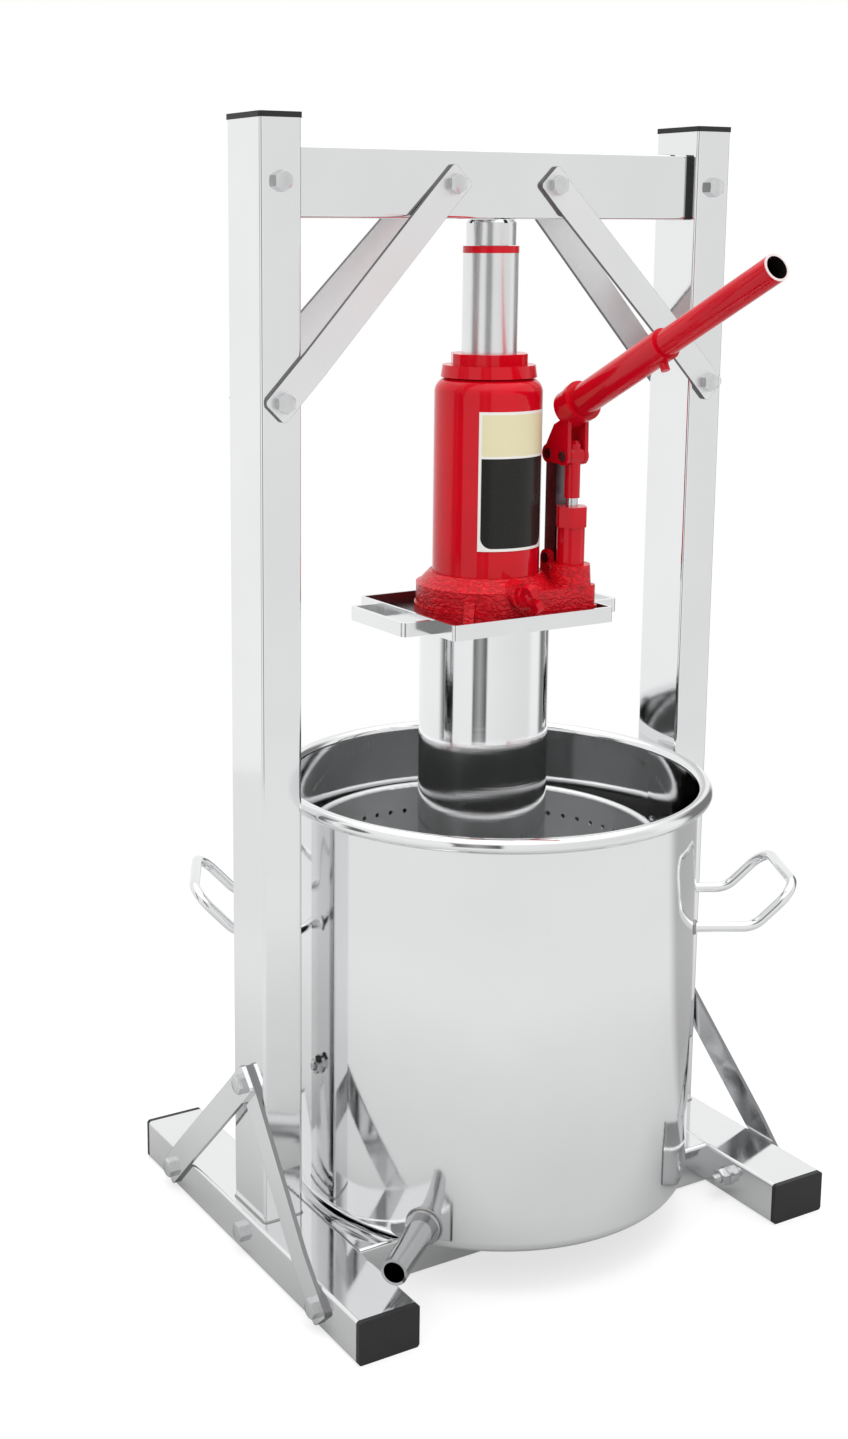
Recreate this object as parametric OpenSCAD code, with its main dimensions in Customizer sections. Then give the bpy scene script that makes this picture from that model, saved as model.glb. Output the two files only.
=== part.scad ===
// Hydraulic fruit press: a stainless tube frame, a bucket with a perforated basket, and a bottle jack
// that pushes a press plate down by bearing up against the top beam.
// Millimetres. +X right along the beam, -Y front (lever and label side), +Z up, floor at Z = 0.

/* [Frame] */
// Height over the post caps
overall_h = 650; // [560:1:760]
// Width over the outer faces of the posts
post_span = 320; // [290:1:380]
// How far the rails stand outside the posts
rail_step = 5; // [4:0.5:12]
// Length of a rail over its caps
base_depth = 265; // [220:1:340]
// Wide side of the frame tube
tube_w = 38; // [30:1:50]
// Narrow side of the frame tube
tube_t = 25; // [20:1:32]
// Wall of the frame tube
tube_wall = 1.5; // [1:0.1:3]
// Corner radius of the frame tube
tube_r = 2; // [1:0.1:4]
// Thickness of a plug's flange
cap_t = 3; // [2:0.5:6]
// Depth of a plug inside its tube
plug_depth = 10; // [5:1:20]
// Wall of a plug's hollow shank
plug_wall = 2; // [1:0.5:4]
// How far a post cap stands proud of its post
cap_proud = 0.5; // [0:0.1:1.5]
// Drop from the top of the post caps to the underside of the beam
beam_drop = 54.5; // [48:0.5:120]
// Thickness of the tongue at each end of the beam
tongue_t = 12; // [8:1:16]
// Height of the tongue
tongue_h = 28; // [18:1:32]
// Clearance round the tongue in its slot
tongue_fit = 0.2; // [0.1:0.05:0.5]
// Depth of the box that the bucket stands on
cross_depth = 142; // [100:1:180]
// End plate of that box
cross_end = 2; // [1:0.5:4]

/* [Braces] */
// Width of a brace bar
brace_w = 17; // [12:1:24]
// Thickness of a brace bar
brace_t = 2.5; // [2:0.5:4]
// Bar past the bolt centre
brace_end = 8; // [6:0.5:9]
// Corner radius of a bar's ends
brace_r = 2.5; // [1:0.5:6]
// Drop from the top of the post caps to the top braces' post bolts
brace_drop = 151.5; // [110:0.5:220]
// Distance of the top braces' beam bolts from the middle
brace_reach = 35; // [28:1:80]
// Height of the base braces' post bolts
stay_h = 105; // [80:1:160]
// Distance of the base braces' rail bolts from the middle
stay_reach = 90; // [80:1:110]

/* [Fasteners] */
// Bolt diameter
bolt_d = 6; // [5:0.5:8]
// Radial clearance of a bolt in its hole
bolt_fit = 0.25; // [0.1:0.05:0.6]
// Width across flats of heads and nuts
hex_af = 10; // [8:0.5:13]
// Height of a bolt head
head_h = 4; // [3:0.1:6]
// Height of a nut
nut_h = 5; // [4:0.1:7]
// Washer diameter
washer_d = 12; // [11:0.5:18]
// Washer thickness
washer_t = 1.6; // [1:0.1:2.5]
// Bolt past its nut
bolt_tip = 2; // [1:0.5:5]

/* [Bucket] */
// Height of the bucket
bucket_h = 245; // [200:1:280]
// Sheet of the bucket
bucket_wall = 1.2; // [0.8:0.1:2]
// Gap between the bucket wall and the ends of the base bolts
bucket_clear = 3.9; // [1:0.1:10]
// How far the bucket stands forward of the frame's middle
bucket_fwd = 10; // [0:1:14]
// Bottom corner radius of the bucket
bucket_r0 = 7; // [3:0.5:15]
// Diameter of the rolled rim
bead_d = 8.8; // [5:0.1:10]
// Gap between the left handle's wire and the post
grip_clear = 1.3; // [1:0.1:8]
// Height of the handle arms above the bucket's bottom
grip_z = 159; // [120:1:190]
// Distance between a handle's arms
grip_w = 68; // [50:1:90]
// Level run of a handle's arms out of the wall
grip_out = 24; // [20:1:45]
// Length of the raised part of a handle
grip_slant = 28; // [24:1:40]
// Slope of the raised part
grip_angle = 45; // [20:1:70]
// Bend radius from the level arms to the raised part
grip_bend = 16; // [8:0.5:20]
// Corner radius of the raised part
grip_r = 14; // [8:0.5:16]
// Handle wire
wire_d = 6; // [4:0.5:8]
// Turn of the spout from the X axis
spout_turn = -141; // [-150:1:-125]
// Height of the spout's axis above the bucket's bottom
spout_z = 14; // [12:0.5:30]
// Spout outside diameter
spout_d = 15; // [10:0.5:18]
// Spout wall
spout_wall = 1.6; // [1:0.1:2.5]
// Step from the spout's bore to its throat in the wall
spout_step = 0.4; // [0.2:0.1:1]
// Spout length outside the wall
spout_len = 52; // [25:1:60]
// Weld collar at the spout's root, over the pipe
collar_over = 2.5; // [1:0.5:4]
// Length of that collar
collar_len = 4; // [2:0.5:8]

/* [Basket] */
// Height of the basket
basket_h = 205; // [160:1:215]
// Sheet of the basket
basket_wall = 1; // [0.6:0.1:2]
// Least gap between the basket and the bucket wall
basket_gap = 7.3; // [4:0.1:15]
// Diameter of the basket's rolled rim
basket_bead = 5; // [3:0.5:7]
// Bottom corner radius of the basket
basket_r0 = 5; // [2:0.5:10]
// Hole diameter
hole_d = 3; // [2:0.5:5]
// Holes round the basket in one row
hole_cols = 60; // [24:1:80]
// Height between rows of holes
hole_pitch = 45; // [20:1:60]
// First row below the rim
hole_drop = 18; // [12:1:30]

/* [Press column] */
// Press tube outside diameter
press_d = 77; // [60:1:90]
// Press tube wall
press_wall = 2; // [1.5:0.1:4]
// Press tube length from tray to plate
press_len = 241; // [200:1:260]
// Thickness of the press plate
plate_t = 6; // [4:0.5:10]
// Gap between the plate and the basket wall
plate_gap = 8; // [6:0.5:12]
// Height of the tray's walls
tray_h = 9; // [8:0.5:9.5]
// Sheet of the tray
tray_t = 2; // [1.5:0.1:3]
// Clearance beside what stands in the tray
tray_clear = 1; // [0.5:0.1:4]
// Room in front of the jack's foot, and behind it
tray_room = 7; // [6:0.5:12]
// Reach of a tray handle
tray_grip = 20; // [18:1:35]
// Length of a tray handle
tray_grip_len = 60; // [50:1:80]
// Thickness of a tray handle's bar
tray_bar = 3; // [2:0.5:4]
// Height of a tray handle's bar
tray_bar_h = 8; // [6:0.5:8]

/* [Jack body] */
// Diameter of the round foot
foot_d = 84; // [80:1:92]
// Height of the foot
foot_h = 7; // [5:0.5:10]
// Step from the foot to the body of the base
foot_step = 1; // [0.5:0.5:2]
// Turn of the rib on the foot from the X axis
rib_turn = -137; // [-145:1:-120]
// Height of the rib
rib_h = 14; // [10:0.5:16]
// Reach of the rib past the foot
rib_out = 4; // [2:0.5:5]
// Thickness of the rib
rib_t = 6; // [4:0.5:8]
// Height of the base under its collar
base_h = 19; // [16:0.5:24]
// Height of the reservoir's seat
seat_h = 21; // [20:0.5:26]
// Height of the collar round the reservoir, above the base
lip_h = 7; // [4:0.5:10]
// Reservoir diameter
reservoir_d = 63; // [60:0.5:65]
// Reservoir wall
reservoir_wall = 2.5; // [2:0.1:4]
// Reservoir height above its seat
reservoir_h = 119; // [100:1:150]
// Shoulder radius of the reservoir
shoulder_r = 9; // [5:0.5:10]
// Flange diameter of the top nut
nut_flange_d = 56; // [52:0.5:60]
// Flange height of the top nut
nut_flange_h = 7; // [4:0.5:10]
// Width across flats of the top nut
nut_af = 43; // [38:0.5:48]
// Height of the top nut's hexagon
nut_hex_h = 6.5; // [4:0.5:12]
// Depth of the top nut's plug
nut_plug_h = 8; // [5:0.5:12]
// Ram diameter
ram_d = 32; // [28:0.5:34]
// Length of ram that shows in the photographed pose
ram_out = 57; // [55:1:65]
// Length of ram kept in the cylinder
ram_in = 76; // [66:1:80]
// Wall of the inner cylinder
cylinder_wall = 4; // [3:0.5:5]
// Height of the ram's seal
seal_h = 6; // [4:0.5:10]
// Red ring on the ram
ring_h = 4; // [2:0.5:6]
// Extension screw diameter
screw_d = 20; // [16:0.5:22]
// Extension screw length in the ram
screw_len = 60; // [40:1:70]
// Diameter of the extension screw's head
screw_head_d = 28.6; // [25:0.1:32]
// Height of that head
screw_head_h = 14.4; // [10:0.1:20]
// Label width round the reservoir, in degrees
label_span = 88; // [60:1:90]
// Label height
label_h = 80; // [60:1:88]
// Label above the reservoir's seat
label_z = 21; // [15:1:25]
// Label thickness
label_t = 0.3; // [0.2:0.1:0.5]
// Running clearance of sliding and turning fits
fit = 0.05; // [0.02:0.01:0.1]
// Gap where one piece rests on another that can leave it
rest_gap = 0.3; // [0.2:0.05:0.5]

/* [Pump and lever] */
// Pump axis to the right of the ram
pump_x = 39.5; // [39:0.5:44]
// Pump axis in front of the ram
pump_y = 29.7; // [28:0.1:36]
// Pump boss diameter
boss_d = 25; // [22:0.5:28]
// Height of the pump boss
boss_h = 31; // [28:0.5:34]
// Pump cylinder diameter
pump_d = 16.4; // [14:0.1:16.8]
// Pump cylinder height
pump_h = 22; // [16:0.5:26]
// Thread of the pump cylinder in the boss
pump_root = 9; // [6:0.5:12]
// Width across flats of the pump's gland nut
gland_af = 17; // [16:0.5:17.5]
// Height of the gland nut
gland_h = 12; // [8:0.5:14]
// Pump rod diameter
rod_d = 7; // [5:0.5:8]
// Plunger diameter
plunger_d = 9.2; // [8:0.1:9.4]
// Plunger shoulder above the gland nut
plunger_up = 5; // [4.5:0.5:10]
// Plunger above its pin
plunger_head = 9; // [7:0.5:10]
// Height of the plunger pin above the tray floor
pin_h = 94.5; // [92:0.5:102]
// Pin diameter
pin_d = 6; // [5:0.5:7]
// Metal round a pin
pin_wall = 2.5; // [2:0.5:2.5]
// Level distance from plunger pin to lever pivot
arm = 14.2; // [14:0.1:18]
// Rise from lever pivot to plunger pin, in degrees
arm_angle = -2; // [-6:1:6]
// Thickness of a socket cheek
cheek_t = 2.5; // [2:0.1:2.6]
// Side clearance between the linkage pieces
side_gap = 0.4; // [0.3:0.1:0.5]
// Extra travel of the pin in the plunger's eye
slot_play = 0.6; // [0.5:0.05:1]
// Depth of the link in the base
link_root = 8; // [6:0.5:12]
// Link width
link_w = 10; // [8:0.5:10.5]
// Lever angle above level
lever_angle = 27; // [15:1:40]
// Lever axis above the plunger pin
lever_h = 28.5; // [27:0.5:32]
// Socket length in front of the plunger pin
socket_front = 8.9; // [6:0.1:30]
// Socket length behind the plunger pin
socket_back = 4.1; // [0:0.1:4.5]
// Socket wall
socket_wall = 2.1; // [1.5:0.1:2.4]
// Lower lever tube
lever_d = 18.5; // [16:0.1:19]
// Upper lever tube
upper_d = 15; // [12:0.1:16]
// Upper lever tube's wall
upper_wall = 1.4; // [1:0.1:2.5]
// Length of the lower lever tube
lever_len = 92; // [70:1:200]
// Length of the upper lever tube
upper_len = 142; // [120:1:260]
// Upper lever tube inside the lower one
upper_in = 50; // [30:1:60]
// Lever screw diameter
lever_screw_d = 5; // [3:0.5:6]
// Lever screw head above the tube
lever_screw_h = 4; // [2:0.5:8]

/* [Release valve] */
// Valve axis from the middle
valve_x = -4; // [-15:0.5:5]
// Valve axis above the tray floor
valve_z = 18; // [17:0.5:18]
// Valve boss diameter
valve_boss_d = 16; // [14:0.5:17]
// Valve boss in front of the foot
valve_boss_out = 3; // [1:0.5:6]
// Valve stem diameter
valve_d = 8; // [6:0.5:9]
// Valve reach in front of the foot
valve_out = 15; // [14:0.5:24]
// Depth of the valve's stem in its boss
valve_in = 9; // [8:0.5:10]
// Span of the valve's wing
wing_w = 17; // [12:0.5:18]
// Thickness of the wing
wing_t = 4; // [3:0.5:6]
// Turn of the wing in the photographed pose
wing_turn = 62; // [0:1:180]

/* [Hidden] */
$fn = 64;
post_x = post_span / 2;
post_in = post_x - tube_t;
post_mid = post_x - tube_t / 2;
rail_x = post_x + rail_step;
rail_in = rail_x - tube_w;
rail_mid = rail_x - tube_w / 2;
post_top = overall_h - cap_t;
beam_z = overall_h - beam_drop;
beam_mid = beam_z + tube_w / 2;
beam_half = post_in - cap_t;
brace_z = overall_h - brace_drop;
hole_r = bolt_d / 2 + bolt_fit;
rail_bolt_z = tube_t / 2;
long_bolt = tube_w + 2 * brace_t + washer_t + nut_h + bolt_tip;
short_bolt = tube_t + 2 * brace_t + washer_t + nut_h + bolt_tip;
bucket_r = post_x + 2 * brace_t - short_bolt - bucket_clear;
grip_y = tube_w / 2 + wire_d / 2 + grip_clear + bucket_fwd;
grip_turn = -asin(grip_w / 2 / norm([post_in, grip_y])) - atan2(grip_y, post_in);
basket_r = bucket_r - bucket_wall - bucket_fwd - basket_gap;
bucket_z = tube_t + rest_gap;
basket_z = bucket_z + bucket_wall + rest_gap;
plate_r = basket_r - basket_wall - plate_gap;
head_z = beam_z - rest_gap - screw_head_h;
ram_top = head_z - rest_gap - ring_h;
nut_top = ram_top - ram_out;
reservoir_top = nut_top - nut_hex_h - nut_flange_h;
seat_z = reservoir_top - reservoir_h;
jack_z = seat_z - seat_h;
tray_z = jack_z - tray_t;
valve_front = foot_d / 2 + valve_boss_out + rest_gap;
plate_top = tray_z - press_len;
ram_r = ram_d / 2;
cyl_r = ram_r + fit;
cyl_out = cyl_r + cylinder_wall;
plug_r = nut_flange_d / 2 - 4;
boss_r = boss_d / 2;
base_x = pump_x + boss_r + 1;
tray_x = base_x + tray_clear + tray_t;
tray_y = foot_d / 2 + tray_room + tray_t;
eye_r = pin_d / 2 + pin_wall;
pin_z = jack_z + pin_h;
link_y = -pump_y + arm;
link_z = pin_z - arm * tan(arm_angle);
link_foot = jack_z + boss_h - link_root;
link_pin_z = link_foot + link_root + 2;
cheek_in = plunger_d / 2 + side_gap;
cheek_out = cheek_in + cheek_t;
socket_id = lever_d + 2 * fit;
socket_od = socket_id + 2 * socket_wall;
pump_top = jack_z + boss_h + pump_h + gland_h;
lever_in = socket_back - 0.5;
lever_tip = lever_len - lever_in;
hole_rows = floor((basket_h - hole_drop - 2 * basket_r0) / hole_pitch) + 1;

steel = [0.80, 0.81, 0.82];
chrome = [0.86, 0.87, 0.88];
red = [0.72, 0.04, 0.08];
black = [0.13, 0.13, 0.14];
zinc = [0.70, 0.71, 0.72];

// Shared outlines and placements

module round_rect(w, h, r) {
    square([w - 2 * r, h], center = true);
    square([w, h - 2 * r], center = true);
    for (x = [-1, 1], y = [-1, 1])
        translate([x * (w / 2 - r), y * (h / 2 - r)]) circle(r);
}

module tube_outline(w, h) {
    difference() {
        round_rect(w, h, tube_r);
        round_rect(w - 2 * tube_wall, h - 2 * tube_wall, max(tube_r - tube_wall, 0.3));
    }
}

// Half outline of an upright cup: flat bottom, round corner, plain top
module cup_outline(r, h, c) {
    square([r - c, h]);
    translate([0, c]) square([r, h - c]);
    intersection() {
        translate([r - c, c]) circle(c);
        square([r, h]);
    }
}

module on_right() {
    children();
}

module on_left() {
    mirror([1, 0, 0]) children();
}

module on_bucket(turn) {
    translate([0, -bucket_fwd, bucket_z]) rotate([0, 0, turn]) children();
}

module on_pump() {
    translate([pump_x, -pump_y, 0]) children();
}

// Lever axis as local Z, with local Y square to it and upwards
module on_lever() {
    translate([pump_x, -pump_y, pin_z + lever_h]) rotate([90 - lever_angle, 0, 0]) children();
}

module across_x(x, y, z, r, len) {
    translate([x, y, z]) rotate([0, 90, 0]) cylinder(r = r, h = len, center = true);
}

module across_y(x, y, z, r, len) {
    translate([x, y, z]) rotate([90, 0, 0]) cylinder(r = r, h = len, center = true);
}

// Frame tubes, beam and box

module rail() {
    difference() {
        translate([rail_mid, base_depth / 2 - cap_t, tube_t / 2])
            rotate([90, 0, 0]) linear_extrude(base_depth - 2 * cap_t) tube_outline(tube_w, tube_t);
        for (y = [-stay_reach, 0, stay_reach])
            across_x(rail_mid, y, rail_bolt_z, hole_r, tube_w + 2);
    }
}

module post() {
    difference() {
        translate([post_mid, 0, tube_t]) linear_extrude(post_top - tube_t) tube_outline(tube_t, tube_w);
        across_x(post_mid, 0, stay_h, hole_r, tube_t + 2);
        across_y(post_mid, 0, brace_z, hole_r, tube_w + 2);
        across_y(post_mid, 0, beam_mid, hole_r, tube_w + 2);
        translate([post_in - 1, -tongue_t / 2 - tongue_fit, beam_mid - tongue_h / 2 - tongue_fit])
            cube([tube_wall + 2, tongue_t + 2 * tongue_fit, tongue_h + 2 * tongue_fit]);
    }
}

// The tongue stands on a plate welded inside the tube's end and carries the post bolt
module beam_end() {
    plate_in = beam_half - plug_depth - 8;
    difference() {
        union() {
            translate([plate_in, 0, beam_mid]) rotate([90, 0, 90])
                linear_extrude(6) round_rect(tube_t - 2 * tube_wall, tube_w - 2 * tube_wall, 0.5);
            translate([plate_in, -tongue_t / 2, beam_mid - tongue_h / 2])
                cube([post_x - tube_wall - 2 - plate_in, tongue_t, tongue_h]);
        }
        across_y(post_mid, 0, beam_mid, hole_r, tube_w);
    }
}

module top_beam() {
    color(steel) {
        difference() {
            translate([-beam_half, 0, beam_mid]) rotate([90, 0, 90])
                linear_extrude(2 * beam_half) tube_outline(tube_t, tube_w);
            for (x = [-brace_reach, brace_reach])
                across_y(x, 0, beam_mid, hole_r, tube_t + 2);
        }
        beam_end();
        on_left() beam_end();
    }
}

module cross_box() {
    color(steel) difference() {
        union() {
            translate([-rail_in, 0, tube_t / 2]) rotate([90, 0, 90])
                linear_extrude(2 * rail_in) tube_outline(cross_depth, tube_t);
            for (x = [-rail_in, rail_in - cross_end])
                translate([x, 0, tube_t / 2]) rotate([90, 0, 90]) linear_extrude(cross_end)
                    round_rect(cross_depth - tube_wall, tube_t - tube_wall, tube_r);
        }
        for (x = [-rail_in, rail_in])
            across_x(x, 0, rail_bolt_z, hole_r, 3 * cross_end);
    }
}

module left_rail() { color(steel) on_left() rail(); }
module right_rail() { color(steel) on_right() rail(); }
module left_post() { color(steel) on_left() post(); }
module right_post() { color(steel) on_right() post(); }

// Plastic plugs: a flange over the tube's end and a hollow shank inside it

module plug(w, h, proud) {
    linear_extrude(cap_t) round_rect(w + 2 * proud, h + 2 * proud, tube_r);
    translate([0, 0, -plug_depth]) linear_extrude(plug_depth) difference() {
        square([w - 2 * tube_wall - 0.4, h - 2 * tube_wall - 0.4], center = true);
        square([w - 2 * tube_wall - 2 * plug_wall, h - 2 * tube_wall - 2 * plug_wall], center = true);
    }
}

module rail_caps() {
    color(black) for (x = [-rail_mid, rail_mid], s = [0, 180])
        translate([x, 0, tube_t / 2]) rotate([0, 0, s]) translate([0, -base_depth / 2 + cap_t, 0])
            rotate([90, 0, 0]) plug(tube_w, tube_t, 0);
}

module post_caps() {
    color(black) for (x = [-post_mid, post_mid])
        translate([x, 0, post_top]) plug(tube_t, tube_w, cap_proud);
}

module beam_plugs() {
    color(black) for (s = [0, 180]) rotate([0, 0, s]) difference() {
        translate([beam_half, 0, beam_mid]) rotate([90, 0, 90]) plug(tube_t, tube_w, 0);
        translate([beam_half, 0, beam_mid])
            cube([40, tongue_t + 2 * tongue_fit, tongue_h + 2 * tongue_fit], center = true);
    }
}

// Brace bars, set over by the step between the two faces that they are bolted to

// A bar along X from bolt to bolt: its back is at height n0 at the first bolt and n1 at the second, and
// it is level for flat0 and flat1 from those bolts
module brace_bar(len, n0, n1, flat0, flat1) {
    difference() {
        intersection() {
            rotate([90, 0, 0]) translate([0, 0, -brace_w / 2]) linear_extrude(brace_w)
                polygon([[-brace_end, n0], [flat0, n0], [len - flat1, n1], [len + brace_end, n1],
                    [len + brace_end, n1 + brace_t], [len - flat1, n1 + brace_t],
                    [flat0, n0 + brace_t], [-brace_end, n0 + brace_t]]);
            translate([len / 2, 0, -50]) linear_extrude(100)
                round_rect(len + 2 * brace_end, brace_w, brace_r);
        }
        for (x = [0, len]) translate([x, 0, -50]) cylinder(r = hole_r, h = 100);
    }
}

// How far a bar at a slope runs before its whole width has left a face that ends edge from the bolt
function past_edge(edge, slope) = edge / cos(slope) + brace_w / 2 * tan(slope) + brace_t / 2;

module top_brace() {
    run = post_mid - brace_reach;
    rise = beam_mid - brace_z;
    slope = atan2(rise, run);
    color(steel) translate([-post_mid, -tube_w / 2, brace_z]) rotate([0, -slope, 0]) rotate([90, 0, 0])
        brace_bar(norm([run, rise]), 0, -(tube_w - tube_t) / 2, past_edge(tube_t / 2, slope),
            brace_w / 2 + 1);
}

module top_brace_front_left() { top_brace(); }
module top_brace_front_right() { mirror([1, 0, 0]) top_brace(); }
module top_brace_rear_left() { mirror([0, 1, 0]) top_brace(); }
module top_brace_rear_right() { mirror([1, 0, 0]) mirror([0, 1, 0]) top_brace(); }

// The front bar lies on the post, and the rear bar lies on the front one
module base_brace(way, layer) {
    drop = stay_h - rail_bolt_z;
    slope = atan2(stay_reach, drop);
    color(steel) translate([post_x, 0, stay_h]) rotate([way * slope, 0, 0]) rotate([0, 90, 0])
        brace_bar(norm([stay_reach, drop]), layer * brace_t, rail_step, brace_w / 2 + 4,
            past_edge(tube_t - rail_bolt_z, slope));
}

module base_brace_right_front() { base_brace(-1, 0); }
module base_brace_right_rear() { base_brace(1, 1); }
module base_brace_left_front() { mirror([1, 0, 0]) base_brace(-1, 0); }
module base_brace_left_rear() { mirror([1, 0, 0]) base_brace(1, 1); }

// Fasteners: local Z runs from the head to the nut

module hex_body(af, h) {
    intersection() {
        cylinder(d = af / cos(30), h = h, $fn = 6);
        translate([0, 0, -af]) cylinder(r1 = af * 1.7, r2 = af / 2 - 0.2, h = h + af);
    }
}

module bolt(len) {
    cylinder(d = bolt_d, h = len);
    mirror([0, 0, 1]) hex_body(hex_af, head_h);
}

module nut() {
    difference() {
        hex_body(hex_af, nut_h);
        translate([0, 0, -1]) cylinder(r = bolt_d / 2 + fit, h = nut_h + 2);
    }
}

module washer() {
    difference() {
        cylinder(d = washer_d, h = washer_t);
        translate([0, 0, -1]) cylinder(r = hole_r, h = washer_t + 2);
    }
}

// Bolts through the posts and the beam, front to back: place, then head and nut faces
module along_y(x, z, face) {
    for (s = [-1, 1]) translate([s * x, face, z]) rotate([-90, 0, 0]) children();
}

// Bolts through the rails and the posts, outside to inside
module along_x(y, z, face) {
    for (s = [0, 1]) mirror([s, 0, 0]) translate([face, y, z]) rotate([0, -90, 0]) children();
}

module long_bolts() {
    color(zinc) {
        along_y(post_mid, beam_mid, -tube_w / 2) bolt(long_bolt);
        along_y(post_mid, brace_z, -tube_w / 2 - brace_t) bolt(long_bolt);
        for (y = [-stay_reach, stay_reach]) along_x(y, rail_bolt_z, rail_x + brace_t) bolt(long_bolt);
        along_x(0, rail_bolt_z, rail_x) bolt(long_bolt);
    }
}

module short_bolts() {
    color(zinc) {
        along_y(brace_reach, beam_mid, -tube_t / 2 - brace_t) bolt(short_bolt);
        along_x(0, stay_h, post_x + 2 * brace_t) bolt(short_bolt);
    }
}

module at_nuts() {
    along_y(post_mid, beam_mid, tube_w / 2) children();
    along_y(post_mid, brace_z, tube_w / 2 + brace_t) children();
    along_y(brace_reach, beam_mid, tube_t / 2 + brace_t) children();
    for (y = [-stay_reach, stay_reach]) along_x(y, rail_bolt_z, rail_in) children();
    along_x(0, rail_bolt_z, rail_in - cross_end) children();
    along_x(0, stay_h, post_in) children();
}

module bolt_washers() {
    color(zinc) at_nuts() washer();
}

module bolt_nuts() {
    color(zinc) at_nuts() translate([0, 0, washer_t]) nut();
}

// Bucket, handles and spout

module bucket_shell() {
    color(steel) difference() {
        on_bucket(0) rotate_extrude() {
            difference() {
                cup_outline(bucket_r, bucket_h - bead_d / 2, bucket_r0);
                translate([0, bucket_wall])
                    cup_outline(bucket_r - bucket_wall, bucket_h, bucket_r0 - bucket_wall);
            }
            translate([bucket_r - bucket_wall + bead_d / 2, bucket_h - bead_d / 2]) circle(d = bead_d);
        }
        on_bucket(spout_turn) translate([bucket_r - 20, 0, spout_z]) rotate([0, 90, 0])
            cylinder(d = spout_d - 2 * spout_wall - 2 * spout_step, h = 40);
    }
}

// Round wire: level arms out of the wall, a bend up, then a raised loop with round corners
module bucket_grip(turn) {
    half = grip_w / 2;
    color(steel) on_bucket(turn) difference() {
        for (s = [0, 1]) mirror([0, s, 0]) {
            translate([bucket_r - 20, half, grip_z]) rotate([0, 90, 0])
                cylinder(d = wire_d, h = grip_out + 20);
            translate([bucket_r + grip_out, half, grip_z + grip_bend]) rotate([90, 0, 0])
                rotate([0, 0, -90]) rotate_extrude(angle = grip_angle)
                    translate([grip_bend, 0]) circle(d = wire_d);
            translate([bucket_r + grip_out, 0, grip_z + grip_bend]) rotate([0, -grip_angle, 0])
                translate([0, 0, -grip_bend]) {
                    translate([0, half, 0]) rotate([0, 90, 0])
                        cylinder(d = wire_d, h = grip_slant - grip_r);
                    translate([grip_slant - grip_r, half - grip_r, 0])
                        rotate_extrude(angle = 90) translate([grip_r, 0]) circle(d = wire_d);
                    translate([grip_slant, 0, 0]) rotate([-90, 0, 0])
                        cylinder(d = wire_d, h = half - grip_r);
                }
        }
        cylinder(r = bucket_r, h = bucket_h);
    }
}

module bucket_handle_right() { bucket_grip(grip_turn); }
module bucket_handle_left() { bucket_grip(grip_turn + 180); }

module spout() {
    color(steel) on_bucket(spout_turn) difference() {
        translate([bucket_r - 8, 0, spout_z]) rotate([0, 90, 0]) difference() {
            union() {
                cylinder(d = spout_d, h = spout_len + 8);
                cylinder(d = spout_d + 2 * collar_over, h = collar_len + 8);
            }
            translate([0, 0, -1]) cylinder(d = spout_d - 2 * spout_wall - 2 * spout_step, h = spout_len);
            translate([0, 0, collar_len + 8]) cylinder(d = spout_d - 2 * spout_wall, h = spout_len);
        }
        cylinder(r = bucket_r, h = bucket_h);
    }
}

// Basket: every second row of holes is turned by half a step
module basket() {
    color(steel) translate([0, 0, basket_z]) difference() {
        rotate_extrude() {
            difference() {
                cup_outline(basket_r, basket_h - basket_bead / 2, basket_r0);
                translate([0, basket_wall])
                    cup_outline(basket_r - basket_wall, basket_h, basket_r0 - basket_wall);
            }
            translate([basket_r - basket_wall + basket_bead / 2, basket_h - basket_bead / 2])
                circle(d = basket_bead);
        }
        for (row = [0 : hole_rows - 1], i = [0 : hole_cols - 1])
            rotate([0, 0, (i + (row % 2) / 2) * 360 / hole_cols])
                across_x(basket_r, 0, basket_h - hole_drop - row * hole_pitch, hole_d / 2, 8);
    }
}

// Press column and tray

module press_tube() {
    color(steel) translate([0, 0, plate_top]) difference() {
        cylinder(d = press_d, h = press_len);
        translate([0, 0, -1]) cylinder(d = press_d - 2 * press_wall, h = press_len + 2);
    }
}

module press_plate() {
    color(steel) translate([0, 0, plate_top - plate_t]) rotate_extrude()
        polygon([[0, 0], [plate_r - 1, 0], [plate_r, 1], [plate_r, plate_t - 1], [plate_r - 1, plate_t],
            [0, plate_t]]);
}

module tray() {
    color(steel) translate([0, 0, tray_z]) difference() {
        linear_extrude(tray_h) round_rect(2 * tray_x, 2 * tray_y, 2.5);
        translate([0, 0, tray_t]) linear_extrude(tray_h)
            round_rect(2 * (tray_x - tray_t), 2 * (tray_y - tray_t), 0.8);
    }
}

module tray_handle() {
    color(steel) translate([0, 0, tray_z + (tray_h - tray_bar_h) / 2]) linear_extrude(tray_bar_h)
        intersection() {
            difference() {
                translate([tray_x, 0]) round_rect(2 * tray_grip, tray_grip_len, 4);
                translate([tray_x, 0])
                    round_rect(2 * (tray_grip - tray_bar), tray_grip_len - 2 * tray_bar, 1.5);
            }
            translate([tray_x, -tray_grip_len]) square([2 * tray_grip, 2 * tray_grip_len]);
        }
}

module tray_handle_right() { tray_handle(); }
module tray_handle_left() { mirror([1, 0, 0]) tray_handle(); }

// Jack base: a round foot with a rib and a squared pump side, a collar, a pump boss, link ears and a
// valve boss

module base_outline(step) {
    circle(foot_d / 2 - step);
    translate([base_x / 2 - step / 2, -pump_y / 2])
        round_rect(base_x - step, pump_y + 2 * boss_r - 2 * step, 5);
}

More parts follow.
